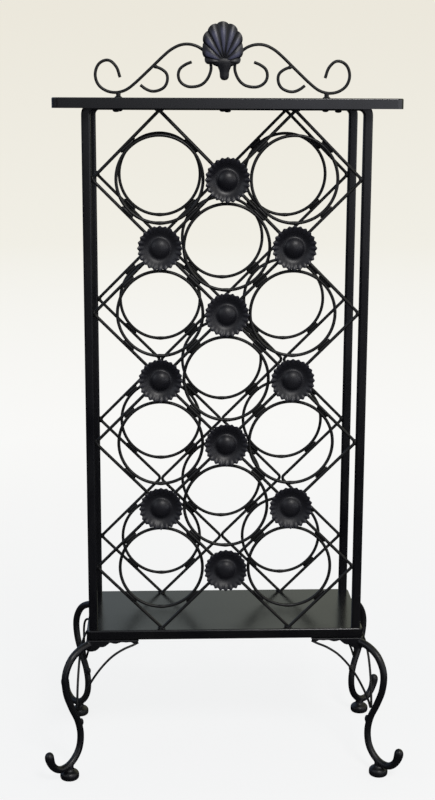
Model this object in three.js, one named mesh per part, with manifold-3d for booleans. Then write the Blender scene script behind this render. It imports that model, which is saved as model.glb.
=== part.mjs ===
// Wrought-iron wine rack: eleven bottle cells in a diamond lattice, front and back,
// between a base shelf on four cast legs and a top shelf that carries a scroll-and-shell crest.
//
// Millimetres, +Z up. X runs along the width, the decorated front faces -Y, and the origin is on
// the floor under the middle of the rack.

import * as THREE from 'three';
import { mergeVertices } from 'three/addons/utils/BufferGeometryUtils.js';
import Module from 'manifold-3d';

const wasm = await Module();
wasm.setup();

// ---------------------------------------------------------------- driving dimensions

const GAP = 0.3;                    // clearance between pieces that touch

const CELL = 70;                    // centre of a diamond cell to each of its four corners
const ROWS = 8;                     // lattice height, in cell half-heights
const LATTICE_TOP = 725;            // height of the lattice's upper nodes
const LATTICE_Y = 58;               // front and rear lattice planes, either side of the middle
const WIRE = 1.7;                   // radius of the lattice, ring and scroll wire
const BEND = 4;                     // bend radius of the zigzag rods
const RING = 45.7;                  // centre-line radius of a bottle ring

const BAR = 9.5;                    // square bar of the front and rear frames
const POST_X = 145;                 // centre of the posts
const HOOP_RADIUS = 5;              // inner bend of a frame's top corners

const TOP_SHELF = { halfX: 178.4, halfY: 82, top: 737.6, lip: 10.6, sheet: 2.6, corner: 7 };
const BASE_SHELF = { halfX: 152.5, halfY: 65.5, top: 165, thick: 11, corner: 5 };

const ROSETTE = { radius: 23.7, petals: 12, dish: 15, notch: 1.6 };

const LEG_THICK = 8.6;              // depth of a cast leg, square to its curve
const LEG_TWIST = -Math.PI / 90;    // the legs stand a little clockwise of the diagonals
const PAD = { at: 37.5, radius: 10.2, high: 10.5 };
const BRACE = 1.3;                  // radius of the brace wire

const CREST_Y = 58;                 // the crest stands over the rear rail

// ---------------------------------------------------------------- materials

function iron(colour, roughness, metalness) {
  return new THREE.MeshStandardMaterial({ color: colour, roughness, metalness });
}

const finish = {
  frame: () => iron(0x16171a, 0.42, 0.35),
  shelf: () => iron(0x24282c, 0.34, 0.35),
  wire: () => iron(0x141517, 0.45, 0.35),
  cast: () => iron(0x121314, 0.5, 0.3),
  ornament: () => iron(0x1b1d24, 0.4, 0.4),
};

// ---------------------------------------------------------------- shared tools

const rack = new THREE.Group();

function place(name, geometry, material, x = 0, y = 0, z = 0, turn = 0) {
  const mesh = new THREE.Mesh(geometry, material);
  mesh.name = name;
  mesh.position.set(x, y, z);
  mesh.rotation.z = turn;
  rack.add(mesh);
  return mesh;
}

function toSolid(geometry) {
  const bare = geometry.clone();
  bare.deleteAttribute('normal');
  bare.deleteAttribute('uv');
  const merged = mergeVertices(bare, 1e-4);
  return new wasm.Manifold(new wasm.Mesh({
    numProp: 3,
    vertProperties: Float32Array.from(merged.attributes.position.array),
    triVerts: Uint32Array.from(merged.index.array),
  }));
}

function toGeometry(solid) {
  const mesh = solid.getMesh();
  const geometry = new THREE.BufferGeometry();
  geometry.setAttribute('position', new THREE.BufferAttribute(mesh.vertProperties, 3));
  geometry.setIndex(new THREE.BufferAttribute(mesh.triVerts, 1));
  return geometry;
}

function join(...geometries) {
  return toGeometry(geometries.map(toSolid).reduce((all, next) => all.add(next)));
}

function cut(body, tool) {
  return toGeometry(toSolid(body).subtract(toSolid(tool)));
}

function box(sizeX, sizeY, sizeZ, x, y, z) {
  return new THREE.BoxGeometry(sizeX, sizeY, sizeZ).translate(x, y, z);
}

// A curve through given stations, so that a sweep has a section at each one and no others.
class StationCurve extends THREE.Curve {
  constructor(stations) {
    super();
    this.stations = stations;
  }

  getPoint(t, target = new THREE.Vector3()) {
    const place = t * (this.stations.length - 1);
    const i = Math.min(Math.floor(place), this.stations.length - 2);
    return target.lerpVectors(this.stations[i], this.stations[i + 1], place - i);
  }

  getPointAt(u, target) {
    return this.getPoint(u, target);
  }

  getTangentAt(u) {
    const last = this.stations.length - 1;
    const i = Math.round(u * last);
    const here = this.stations[i];
    const before = here.clone().sub(this.stations[Math.max(i - 1, 0)]).normalize();
    const after = this.stations[Math.min(i + 1, last)].clone().sub(here).normalize();
    return before.add(after).normalize();
  }
}

function circle(radius, sides) {
  const points = [];
  for (let i = 0; i < sides; i += 1) {
    const angle = (i / sides) * Math.PI * 2;
    points.push(new THREE.Vector2(radius * Math.cos(angle), radius * Math.sin(angle)));
  }
  return new THREE.Shape(points);
}

// Round wire swept through its stations.
function wire(stations, radius, sides = 6) {
  return new THREE.ExtrudeGeometry(circle(radius, sides), {
    steps: stations.length - 1,
    extrudePath: new StationCurve(stations),
  });
}

// Stations along straight runs whose corners are bent to a radius.
function bentStations(corners, radius, steps = 2) {
  const stations = [corners[0]];
  for (let i = 1; i < corners.length - 1; i += 1) {
    const back = corners[i - 1].clone().sub(corners[i]).normalize();
    const on = corners[i + 1].clone().sub(corners[i]).normalize();
    const half = back.angleTo(on) / 2;
    const toTangent = radius / Math.tan(half);
    const centre = back.clone().add(on).normalize().multiplyScalar(radius / Math.sin(half)).add(corners[i]);
    const first = corners[i].clone().addScaledVector(back, toTangent).sub(centre);
    const last = corners[i].clone().addScaledVector(on, toTangent).sub(centre);
    for (let k = 0; k <= steps; k += 1) {
      const spoke = first.clone().lerp(last, k / steps).normalize().multiplyScalar(radius);
      stations.push(spoke.add(centre));
    }
  }
  stations.push(corners[corners.length - 1]);
  return stations;
}

// Stations along a smooth curve through [x, z] points, in the plane y = 0.
function scrollStations(points, steps) {
  const curve = new THREE.CatmullRomCurve3(points.map(([x, z]) => new THREE.Vector3(x, 0, z)));
  return curve.getSpacedPoints(steps);
}

function roundedRectangle(halfX, halfY, radius) {
  const shape = new THREE.Shape();
  shape.moveTo(halfX - radius, -halfY);
  shape.absarc(halfX - radius, -halfY + radius, radius, -Math.PI / 2, 0);
  shape.absarc(halfX - radius, halfY - radius, radius, 0, Math.PI / 2);
  shape.absarc(-halfX + radius, halfY - radius, radius, Math.PI / 2, Math.PI);
  shape.absarc(-halfX + radius, -halfY + radius, radius, Math.PI, Math.PI * 1.5);
  return shape;
}

function slab(halfX, halfY, radius, bottom, high) {
  const shape = roundedRectangle(halfX, halfY, radius);
  return new THREE.ExtrudeGeometry(shape, { depth: high, bevelEnabled: false, curveSegments: 4 })
    .translate(0, 0, bottom);
}

// ---------------------------------------------------------------- shelves

// The top shelf is an inverted pan: a thin sheet with a lip turned down all round.
function topShelf() {
  const { halfX, halfY, top, lip, sheet, corner } = TOP_SHELF;
  const pan = slab(halfX, halfY, corner, top - lip, lip);
  const inside = slab(halfX - sheet, halfY - sheet, corner - sheet, top - lip - 1, lip - sheet + 1);
  return cut(pan, inside);
}

function baseShelf() {
  const { halfX, halfY, top, thick, corner } = BASE_SHELF;
  return slab(halfX, halfY, corner, top - thick, thick);
}

place('top_shelf', topShelf(), finish.shelf());
place('bottom_shelf', baseShelf(), finish.shelf());

// ---------------------------------------------------------------- frame

const FRAME_FOOT = BASE_SHELF.top + GAP;
const FRAME_TOP = TOP_SHELF.top - TOP_SHELF.sheet - GAP;
const RAIL_BOTTOM = FRAME_TOP - BAR;

// The front and the rear frame are each one square bar bent into an inverted U: left post,
// top rail, right post.
function hoop() {
  const outer = POST_X + BAR / 2;
  const inner = POST_X - BAR / 2;
  const outerBend = HOOP_RADIUS + BAR;
  const shape = new THREE.Shape();
  shape.moveTo(-outer, FRAME_FOOT);
  shape.lineTo(-inner, FRAME_FOOT);
  shape.absarc(-inner + HOOP_RADIUS, RAIL_BOTTOM - HOOP_RADIUS, HOOP_RADIUS, Math.PI, Math.PI / 2, true);
  shape.absarc(inner - HOOP_RADIUS, RAIL_BOTTOM - HOOP_RADIUS, HOOP_RADIUS, Math.PI / 2, 0, true);
  shape.lineTo(inner, FRAME_FOOT);
  shape.lineTo(outer, FRAME_FOOT);
  shape.absarc(outer - outerBend, FRAME_TOP - outerBend, outerBend, 0, Math.PI / 2);
  shape.absarc(-outer + outerBend, FRAME_TOP - outerBend, outerBend, Math.PI / 2, Math.PI);
  const bar = new THREE.ExtrudeGeometry(shape, { depth: BAR, bevelEnabled: false, curveSegments: 6 });
  // The outline is drawn across and up, so it is stood up to face along Y.
  return bar.translate(0, 0, -BAR / 2).rotateX(Math.PI / 2);
}

place('front_frame', hoop(), finish.frame(), 0, -LATTICE_Y);
place('rear_frame', hoop(), finish.frame(), 0, LATTICE_Y);

// ---------------------------------------------------------------- lattice

const ROD_OFFSET = WIRE + GAP / 2;  // neighbouring rods lie in two layers, one behind the other
const ROD_END = GAP + WIRE * Math.SQRT1_2;  // from a sloping rod's end to the face that it meets
const TOP_TRIM = LATTICE_TOP - (RAIL_BOTTOM - ROD_END);
const FOOT_TRIM = BASE_SHELF.top + ROD_END - (LATTICE_TOP - ROWS * CELL);

// One zigzag rod runs from the rail to the base shelf, turning at every row. It starts at
// startX and swings over to turnX.
function zigzagRod(startX, turnX) {
  const lean = Math.sign(turnX - startX);
  const corners = [];
  for (let row = 0; row <= ROWS; row += 1) {
    const x = row % 2 === 0 ? startX : turnX;
    corners.push(new THREE.Vector3(x, 0, LATTICE_TOP - row * CELL));
  }
  corners[0].add(new THREE.Vector3(lean * TOP_TRIM, 0, -TOP_TRIM));
  corners[ROWS].add(new THREE.Vector3(lean * FOOT_TRIM, 0, FOOT_TRIM));
  return wire(bentStations(corners, BEND), WIRE);
}

const rods = [
  { from: -CELL, to: -2 * CELL, layer: 1 },
  { from: -CELL, to: 0, layer: -1 },
  { from: CELL, to: 0, layer: 1 },
  { from: CELL, to: 2 * CELL, layer: -1 },
];

// Cell centres, row by row from the top: pairs, then single cells between them.
const cells = [];
for (let row = 1; row < ROWS; row += 1) {
  const across = row % 2 === 1 ? [-CELL, CELL] : [0];
  across.forEach((x) => cells.push({ x, z: LATTICE_TOP - row * CELL }));
}

function bottleRing() {
  return new THREE.TorusGeometry(RING, WIRE, 6, 18).rotateX(Math.PI / 2);
}

[['front', -LATTICE_Y], ['rear', LATTICE_Y]].forEach(([side, y]) => {
  rods.forEach((rod, i) => {
    const depth = y + rod.layer * ROD_OFFSET;
    place(`${side}_zigzag_rod_${i + 1}`, zigzagRod(rod.from, rod.to), finish.wire(), 0, depth);
  });
  cells.forEach((cell, i) => {
    place(`${side}_bottle_ring_${i + 1}`, bottleRing(), finish.wire(), cell.x, y, cell.z);
  });
});

// ---------------------------------------------------------------- rosettes

// A dished flower with a toothed rim and a domed centre, on a short boss. The profile holds
// radius and distance in front of the boss's back face.
function rosette() {
  const profile = [
    [0, 0], [6.5, 0], [ROSETTE.radius - 0.6, 7.4], [ROSETTE.radius, 8.6], [9.8, 4.2], [7, 7.4], [0, 9.4],
  ].map(([radius, ahead]) => new THREE.Vector2(radius, ahead));
  const flower = new THREE.LatheGeometry(profile, ROSETTE.petals * 2);
  const position = flower.attributes.position;
  for (let i = 0; i < position.count; i += 1) {
    const x = position.getX(i);
    const z = position.getZ(i);
    const radius = Math.hypot(x, z);
    const petal = Math.round((Math.atan2(x, z) / Math.PI) * ROSETTE.petals);
    if (radius > ROSETTE.dish && petal % 2 !== 0) {
      const scale = (radius - ROSETTE.notch) / radius;
      position.setX(i, x * scale);
      position.setZ(i, z * scale);
    }
  }
  // The lathe turns about Y, and the flower's face looks towards -Y.
  return flower.rotateX(Math.PI);
}

const ROSETTE_BACK = -LATTICE_Y - ROD_OFFSET - WIRE - GAP;

let flowerCount = 0;
for (let row = 1; row < ROWS; row += 1) {
  const across = row % 2 === 1 ? [0] : [-CELL, CELL];
  across.forEach((x) => {
    flowerCount += 1;
    const z = LATTICE_TOP - row * CELL;
    place(`rosette_${flowerCount}`, rosette(), finish.ornament(), x, ROSETTE_BACK, z);
  });
}

// ---------------------------------------------------------------- legs

// A leg is drawn in its own upright plane: first number outwards from the post's centre along
// the diagonal, second number up from the floor.
const LEG_CURVE = [
  [2, 148.5], [20, 145.5], [33, 137], [41, 121], [40, 101], [33, 82], [24.5, 64], [21, 46],
  [24.5, 29], [36, 17], [50, 14.5], [60, 21], [65, 32], [64.5, 41],
];
const LEG_TOP = BASE_SHELF.top - BASE_SHELF.thick - GAP;

// Outline of a strip that follows a curve, with rounded ends and a width that varies along it.
function ribbonShape(points, halfWidthAt, steps) {
  const curve = new THREE.SplineCurve(points.map(([x, z]) => new THREE.Vector2(x, z)));
  const left = [];
  const right = [];
  for (let i = 0; i <= steps; i += 1) {
    const t = i / steps;
    const along = curve.getTangentAt(t);
    const side = new THREE.Vector2(-along.y, along.x).multiplyScalar(halfWidthAt(t));
    const here = curve.getPointAt(t);
    left.push(here.clone().add(side));
    right.unshift(here.clone().sub(side));
  }
  const tip = curve.getPointAt(1).addScaledVector(curve.getTangentAt(1), halfWidthAt(1));
  return new THREE.Shape([...left, tip, ...right]);
}

function legWidthAt(t) {
  const toe = Math.max(0, (t - 0.86) / 0.14);
  return 4.1 - 0.5 * Math.sin(Math.PI * t) + 0.9 * toe;
}

// A thin leaf that hangs from the shelf's edge, scalloped along its lower side, with a lug at
// its far end for the brace. First number: distance from the leg; second: height.
function leafShape() {
  const shape = new THREE.Shape();
  shape.moveTo(0, LEG_TOP);
  shape.lineTo(0, LEG_TOP - 13);
  shape.quadraticCurveTo(8, LEG_TOP - 13, 13, LEG_TOP - 8);
  shape.quadraticCurveTo(19, LEG_TOP - 8, 24, LEG_TOP - 2.5);
  shape.quadraticCurveTo(30, LEG_TOP - 6, 36, LEG_TOP - 2.5);
  shape.lineTo(48, LEG_TOP - 2.5);
  shape.lineTo(49, LEG_TOP - 4);
  shape.lineTo(54, LEG_TOP - 4);
  shape.lineTo(56, LEG_TOP);
  return shape;
}

const LEAF_THICK = 4;
const LEAF_AT = 8.5;                // distance out along the diagonal where the two leaves start

function leaf(turn) {
  const plate = new THREE.ExtrudeGeometry(leafShape(), {
    depth: LEAF_THICK, bevelEnabled: false, curveSegments: 3,
  });
  return plate.translate(0, 0, -LEAF_THICK / 2).rotateX(Math.PI / 2).rotateZ(turn).translate(LEAF_AT, 0, 0);
}

function footPad() {
  const { at, radius, high } = PAD;
  const profile = [
    [0, 0], [radius - 1.6, 0], [radius, 2.2], [radius, 6], [radius - 1.8, 8.6], [4.5, high], [4, 16], [0, 16],
  ].map(([r, z]) => new THREE.Vector2(r, z));
  return new THREE.LatheGeometry(profile, 12).rotateX(Math.PI / 2).translate(at, 0, 0);
}

function leg() {
  const bevel = 1.6;
  const shape = ribbonShape(LEG_CURVE, (t) => legWidthAt(t) - bevel, 24);
  const bar = new THREE.ExtrudeGeometry(shape, {
    depth: LEG_THICK - 2 * bevel, bevelThickness: bevel, bevelSize: bevel, bevelSegments: 1,
  }).translate(0, 0, -LEG_THICK / 2 + bevel).rotateX(Math.PI / 2);
  const inward = Math.PI * 0.75;
  return join(bar.rotateZ(LEG_TWIST), footPad().rotateZ(LEG_TWIST), leaf(inward), leaf(-inward));
}

// Two thin wires per leg: each curves from a leaf's lug down to the inner side of the leg.
// Points hold: along the shelf edge from the post's centre, out from it, and height. The wires
// follow the leg's twist more and more on their way down.
const BRACE_CURVE = [
  [-44, 7.5, 148.2], [-33, 11.5, 145], [-21, 14.5, 138], [-10, 16.5, 127.2], [0, 17.5, 113.5], [8, 18, 99],
  [14, 18, 85.5], [17, 18, 77],
];

const UPRIGHT = new THREE.Vector3(0, 0, 1);

function braceArm(side) {
  const top = BRACE_CURVE[0][2];
  const drop = top - BRACE_CURVE[BRACE_CURVE.length - 1][2];
  const stations = BRACE_CURVE.map(([along, out, z]) => {
    const outward = (along + out) * Math.SQRT1_2;
    const across = (along - out) * Math.SQRT1_2 * side;
    return new THREE.Vector3(outward, across, z).applyAxisAngle(UPRIGHT, (LEG_TWIST * (top - z)) / drop);
  });
  return wire(new THREE.CatmullRomCurve3(stations).getSpacedPoints(10), BRACE);
}

const corners = [
  { name: 'front_left', x: -1, y: -1, turn: -Math.PI * 0.75 },
  { name: 'front_right', x: 1, y: -1, turn: -Math.PI * 0.25 },
  { name: 'rear_left', x: -1, y: 1, turn: Math.PI * 0.75 },
  { name: 'rear_right', x: 1, y: 1, turn: Math.PI * 0.25 },
];

corners.forEach(({ name, x, y, turn }) => {
  place(`leg_${name}`, leg(), finish.cast(), x * POST_X, y * LATTICE_Y, 0, turn);
  place(`brace_${name}`, join(braceArm(1), braceArm(-1)), finish.wire(), x * POST_X, y * LATTICE_Y, 0, turn);
});

// ---------------------------------------------------------------- crest

// Right-hand scroll, from its outer tip, round the curl, up over the hump, down behind the
// shell and round the inner curl. Numbers are distance from the middle and height.
const SCROLL_CURVE = [
  [113, 760], [117, 771], [125.5, 778], [135.5, 774.5], [140, 764], [137.5, 753], [129.5, 746], [118.5, 743.5],
  [107.5, 746], [98, 752.5], [81, 768], [64.5, 783.5], [55.5, 790.5], [45, 795], [34, 795], [23.5, 790.5],
  [16, 782], [13, 771.5], [14.5, 763.5], [18.5, 756.5], [24, 752], [31.5, 750], [39.5, 750.5], [46, 754.5],
  [49, 761], [47.5, 768.5], [41.5, 773.5], [34.5, 776.5],
];
const SMALL_SCROLL_CURVE = [
  [73.5, 770.6], [67.5, 768.8], [62, 764], [61, 757], [64, 750], [70.5, 746], [78, 745], [85, 747.5],
  [90.5, 751.5],
];
const STUD = { x: 115, radius: 2.6, top: 744 };

function crestScroll(side) {
  const scroll = wire(scrollStations(SCROLL_CURVE.map(([x, z]) => [x * side, z]), 56), WIRE);
  const foot = TOP_SHELF.top + GAP;
  const stud = new THREE.CylinderGeometry(STUD.radius, STUD.radius, STUD.top - foot, 8)
    .rotateX(Math.PI / 2).translate(STUD.x * side, 0, (STUD.top + foot) / 2);
  return join(scroll, stud);
}

function smallScroll(side) {
  return wire(scrollStations(SMALL_SCROLL_CURVE.map(([x, z]) => [x * side, z]), 20), WIRE);
}

[['left', -1], ['right', 1]].forEach(([name, side]) => {
  place(`crest_scroll_${name}`, crestScroll(side), finish.wire(), 0, CREST_Y);
  place(`crest_small_scroll_${name}`, smallScroll(side), finish.wire(), 0, CREST_Y);
});

// The shell is a scalloped fan on a short round-ended stem, in front of the scrolls that carry
// it. It leans a little to the left, so its stem ends right of its middle.
const SHELL = { lobes: 9, x: -0.5, z: 795.4, halfWidth: 21, halfHeight: 22.6, bulge: 2.2, thick: 8 };
const STEM = { x: 1.4, bottom: 756.8, halfWidth: 5.2, neck: 8, shoulder: 770 };

// A point of the shell's rim. The lower half is fuller than an ellipse.
function rimPoint(angle, bulge) {
  const low = Math.sin(angle) < 0;
  const across = Math.sign(Math.cos(angle)) * Math.abs(Math.cos(angle)) ** (low ? 0.5 : 1);
  const up = Math.sign(Math.sin(angle)) * Math.abs(Math.sin(angle)) ** (low ? 0.7 : 1);
  return [SHELL.x + (SHELL.halfWidth + bulge) * across, SHELL.z + (SHELL.halfHeight + bulge) * up];
}

function shellShape() {
  const fan = THREE.MathUtils.degToRad(310);
  const start = (Math.PI - fan) / 2;
  const shape = new THREE.Shape();
  shape.moveTo(STEM.x - STEM.halfWidth, STEM.bottom + STEM.halfWidth);
  shape.absarc(STEM.x, STEM.bottom + STEM.halfWidth, STEM.halfWidth, Math.PI, Math.PI * 2);
  shape.lineTo(STEM.x + STEM.neck, STEM.shoulder);
  for (let lobe = 0; lobe < SHELL.lobes; lobe += 1) {
    const from = start + (fan * lobe) / SHELL.lobes;
    const to = start + (fan * (lobe + 1)) / SHELL.lobes;
    shape.lineTo(...rimPoint(from, 0));
    shape.quadraticCurveTo(...rimPoint((from + to) / 2, 2 * SHELL.bulge), ...rimPoint(to, 0));
  }
  shape.lineTo(STEM.x - STEM.neck, STEM.shoulder);
  return shape;
}

function shell() {
  const plate = new THREE.ExtrudeGeometry(shellShape(), {
    depth: SHELL.thick, bevelEnabled: false, curveSegments: 4,
  });
  return plate.rotateX(Math.PI / 2);
}

place('crest_shell', shell(), finish.ornament(), 0, CREST_Y - WIRE - GAP);

export default rack;
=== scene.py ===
# %% [markdown]
# # A wrought-iron wine rack
#
# The rack is welded up from bent wire, square bar, two steel shelves and a few small castings, and the
# whole thing is powder coated black. Its structure, with every size and place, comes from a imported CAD
# model. This lesson rebuilds each piece around that model with smooth surfaces and a real finish.
#
# The plan follows a metalworker's bench: bend the wire, fold the sheet, cast the legs, then weld and coat.

# %% Load the frame
import math
import random

import bmesh
import bpy
from mathutils import Matrix, Vector
from mathutils.geometry import interpolate_bezier


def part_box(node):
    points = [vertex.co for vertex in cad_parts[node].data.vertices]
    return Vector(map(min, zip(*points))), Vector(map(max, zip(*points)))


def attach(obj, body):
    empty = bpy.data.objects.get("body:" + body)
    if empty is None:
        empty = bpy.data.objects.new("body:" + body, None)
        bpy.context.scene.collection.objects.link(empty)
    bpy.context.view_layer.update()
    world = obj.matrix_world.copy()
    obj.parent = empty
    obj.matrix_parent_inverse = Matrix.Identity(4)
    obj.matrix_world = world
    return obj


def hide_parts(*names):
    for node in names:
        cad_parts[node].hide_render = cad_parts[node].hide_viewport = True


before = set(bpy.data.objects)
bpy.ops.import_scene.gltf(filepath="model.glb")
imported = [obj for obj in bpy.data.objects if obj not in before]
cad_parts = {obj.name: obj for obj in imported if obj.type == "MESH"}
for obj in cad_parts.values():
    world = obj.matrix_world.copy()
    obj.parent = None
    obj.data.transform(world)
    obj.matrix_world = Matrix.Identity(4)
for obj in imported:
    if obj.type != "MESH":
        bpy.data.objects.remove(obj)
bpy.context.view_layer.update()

mm = 0.001

# %% [markdown]
# ## Camera
#
# A tall, narrow object looks calm when the camera stands level with its top shelf and looks slightly down.
# A camera could be aimed with a Track To constraint, but three angles in a matrix say exactly where it
# looks, and they leave nothing for another view to undo. The lens is long, so that verticals stay upright.

# %% Set the camera
CAMERA_AT = Vector((-0.0681, -1.5356, 0.7318))
CAMERA_YAW = 0.03984      # to the right, in radians
CAMERA_PITCH = 0.20661    # downwards
CAMERA_ROLL = 0.00371     # anticlockwise
CAMERA_LENS = 63.61       # focal length in millimetres, for a sensor 36 mm high
CAMERA_SENSOR = 36


def aim(yaw, pitch, roll):
    ahead = Vector((math.sin(yaw) * math.cos(pitch), math.cos(yaw) * math.cos(pitch), -math.sin(pitch)))
    level = Vector((math.cos(yaw), -math.sin(yaw), 0))
    above = level.cross(ahead)
    right = level * math.cos(roll) + above * math.sin(roll)
    up = above * math.cos(roll) - level * math.sin(roll)
    return Matrix((right, up, -ahead)).transposed().to_4x4()


camera_data = bpy.data.cameras.new("camera")
camera_data.lens = CAMERA_LENS
camera_data.sensor_width = CAMERA_SENSOR
camera_data.clip_start = 0.05
camera_data.clip_end = 50
camera = bpy.data.objects.new("camera", camera_data)
camera.matrix_world = Matrix.Translation(CAMERA_AT) @ aim(CAMERA_YAW, CAMERA_PITCH, CAMERA_ROLL)
bpy.context.scene.collection.objects.link(camera)
bpy.context.scene.camera = camera
print("camera looks along", [round(x, 3) for x in camera.matrix_world.to_3x3() @ Vector((0, 0, -1))])

# %% [markdown]
# ## Finishes
#
# Everything wears the same black powder coat, yet it never looks the same twice: it lies smooth on sheet,
# a little pebbled on bar and wire, and rough on castings, where the sand's grain shows through. On the shell
# and the rosettes the crests are given a painted blue-grey highlight, where a bluish light would catch them.
# One function can make all of these. A slow noise shifts the colour and the gloss from place to place,
# a fine noise makes the orange-peel skin, and a third, broader one makes a casting's uneven surface.
# The noises read Object coordinates, which are metres here, so a noise of scale 1 / size has that size.

# %% A helper for shader nodes


def add_node(tree, kind, inputs=(), **settings):
    node = tree.nodes.new(kind)
    for name, value in settings.items():
        setattr(node, name, value)
    for name, value in dict(inputs).items():
        node.inputs[name].default_value = value
    return node


def add_noise(tree, place, size, detail=2.0):
    node = add_node(tree, "ShaderNodeTexNoise", {"Scale": 1 / size, "Detail": detail})
    tree.links.new(place.outputs["Object"], node.inputs["Vector"])
    return node.outputs["Fac"]


def add_range(tree, value, low, high, start=0.3, end=0.7):
    limits = {"From Min": start, "From Max": end, "To Min": low, "To Max": high}
    node = add_node(tree, "ShaderNodeMapRange", limits)
    tree.links.new(value, node.inputs["Value"])
    return node.outputs["Result"]


def add_mix(tree, factor, first, second):
    node = add_node(tree, "ShaderNodeMix", data_type="RGBA")
    tree.links.new(factor, node.inputs["Factor"])
    for socket, colour in ((node.inputs[6], first), (node.inputs[7], second)):
        if isinstance(colour, tuple):
            socket.default_value = (*colour, 1)
        else:
            tree.links.new(colour, socket)
    return node.outputs[2]


def add_bump(tree, height, distance, below=None):
    node = add_node(tree, "ShaderNodeBump", {"Distance": distance})
    tree.links.new(height, node.inputs["Height"])
    if below is not None:
        tree.links.new(below, node.inputs["Normal"])
    return node.outputs["Normal"]


# %% Mix the powder coats
SLOW = 55 * mm       # patches of slightly different colour and gloss
SLOW_DETAIL = 4.0
PEEL = 1.6 * mm      # orange-peel cells of the coat
GRAIN = 5 * mm       # lumps of a sand casting
GRAIN_DETAIL = 3.0


def powder_coat(slot, dark, light, gloss, specular, peel_depth, cast_depth=0.0, painted_sheen=None):
    """A coat between two colours, with roughness from gloss[0] to gloss[1]; the last colour is a painted
    highlight on marked crests.
    """
    material = bpy.data.materials.new(f"{slot}_coat")
    material.use_nodes = True
    tree = material.node_tree
    shader = tree.nodes["Principled BSDF"]
    shader.inputs["Specular IOR Level"].default_value = specular
    place = add_node(tree, "ShaderNodeTexCoord")
    slow = add_noise(tree, place, SLOW, SLOW_DETAIL)
    colour = add_mix(tree, add_range(tree, slow, 0, 1), dark, light)
    if painted_sheen is not None:
        # the crests marked in this mask take a painted blue-grey highlight colour
        sheen_mask = add_node(tree, "ShaderNodeAttribute", attribute_name="sheen_mask")
        colour = add_mix(tree, sheen_mask.outputs["Fac"], colour, painted_sheen)
    tree.links.new(colour, shader.inputs["Base Color"])
    tree.links.new(add_range(tree, slow, *gloss), shader.inputs["Roughness"])
    normal = add_bump(tree, add_noise(tree, place, PEEL), peel_depth)
    if cast_depth:
        normal = add_bump(tree, add_noise(tree, place, GRAIN, GRAIN_DETAIL), cast_depth, normal)
    tree.links.new(normal, shader.inputs["Normal"])
    print("finish", material.name, "roughness", gloss)
    return material


COATS = {
    "frame": powder_coat(
        "frame", (0.002, 0.002, 0.003), (0.004, 0.004, 0.005), (0.24, 0.34), 0.4, 0.012 * mm),
    "shelf": powder_coat(
        "shelf", (0.003, 0.003, 0.004), (0.005, 0.005, 0.005), (0.17, 0.25), 0.5, 0.005 * mm),
    "wire": powder_coat(
        "wire", (0.003, 0.003, 0.003), (0.006, 0.006, 0.006), (0.36, 0.48), 0.35, 0.01 * mm),
    "cast": powder_coat(
        "cast", (0.002, 0.002, 0.003), (0.005, 0.005, 0.006), (0.34, 0.46), 0.4, 0.015 * mm, 0.2 * mm),
    # the ornament's crests get a painted blue-grey highlight that stands in for bluish light
    "ornament": powder_coat(
        "ornament", (0.004, 0.004, 0.006), (0.008, 0.008, 0.011), (0.36, 0.48), 0.38, 0.012 * mm,
        0.08 * mm, painted_sheen=(0.054, 0.056, 0.095)),
}

# %% [markdown]
# ## From a bmesh to a finished piece
#
# Each piece is made with bmesh operators and then handed over by one function. Weighted normals keep wide
# flat faces flat beside narrow rounded edges.

# %% A helper that hands over a piece
SHARP = math.radians(38)
MERGE = 0.002 * mm
counts = {}


def make_piece(bm, name, slot, nodes=(), flat=False):
    bmesh.ops.remove_doubles(bm, verts=bm.verts, dist=MERGE)
    bmesh.ops.recalc_face_normals(bm, faces=bm.faces)
    mesh = bpy.data.meshes.new(name)
    bm.to_mesh(mesh)
    bm.free()
    mesh.shade_smooth()
    mesh.set_sharp_from_angle(angle=SHARP)
    mesh.materials.append(COATS[slot])
    piece = bpy.data.objects.new(name, mesh)
    bpy.context.scene.collection.objects.link(piece)
    if flat:
        normals = piece.modifiers.new("weighted normals", "WEIGHTED_NORMAL")
        normals.keep_sharp = True
    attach(piece, "root")
    if nodes:
        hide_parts(*nodes)
    counts[name] = len(mesh.polygons)
    return piece


def middle(node):
    low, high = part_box(node)
    return (low + high) / 2


# %% [markdown]
# ## Wire, the way a wire bender works
#
# A wire could be a curve object with a round bevel, and that is quick. But the operators follow the craft
# more closely. A ring of edges stands for the wire's section. **push** extrudes it straight ahead,
# **bend** spins it round a mandrel, and **sweep** carries it along a free line by small turns and moves.
# A cap closes each end, and its edge is eased a little, as a cut end is before coating.

# %% Helpers for wire and bar
WIRE_SIDES = 14
CAP_STEPS = ((0.85, 0.16), (0.5, 0.1))      # a cap's rings: their size, and their rise in radii
CURVE_STEPS = 24                            # points on a smooth line between two given points


def edges_of(corners):
    inside = set(corners)
    found = [e for v in corners for e in v.link_edges if e.other_vert(v) in inside]
    return list(dict.fromkeys(found))


def corners_of(ring):
    return list(dict.fromkeys(v for e in ring for v in e.verts))


def wire_section(bm, radius, at, along, sides=WIRE_SIDES):
    """A round ring of edges, its start closed by an eased cap."""
    turn = Vector((0, 0, 1)).rotation_difference(along).to_matrix().to_4x4()
    made = bmesh.ops.create_circle(
        bm, cap_ends=False, radius=radius, segments=sides, matrix=Matrix.Translation(at) @ turn)
    ring = edges_of(made["verts"])
    ease_end(bm, ring, -along, radius)
    return ring


def carry(bm, ring, move):
    made = bmesh.ops.extrude_edge_only(bm, edges=ring)["geom"]
    corners = [g for g in made if isinstance(g, bmesh.types.BMVert)]
    bmesh.ops.transform(bm, matrix=move, verts=corners)
    return edges_of(corners)


def push(bm, ring, step):
    return carry(bm, ring, Matrix.Translation(step))


def bend(bm, ring, centre, axis, angle, steps):
    made = bmesh.ops.spin(
        bm, geom=ring + corners_of(ring), cent=centre, axis=axis, angle=angle, steps=steps)
    return [g for g in made["geom_last"] if isinstance(g, bmesh.types.BMEdge)]


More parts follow.
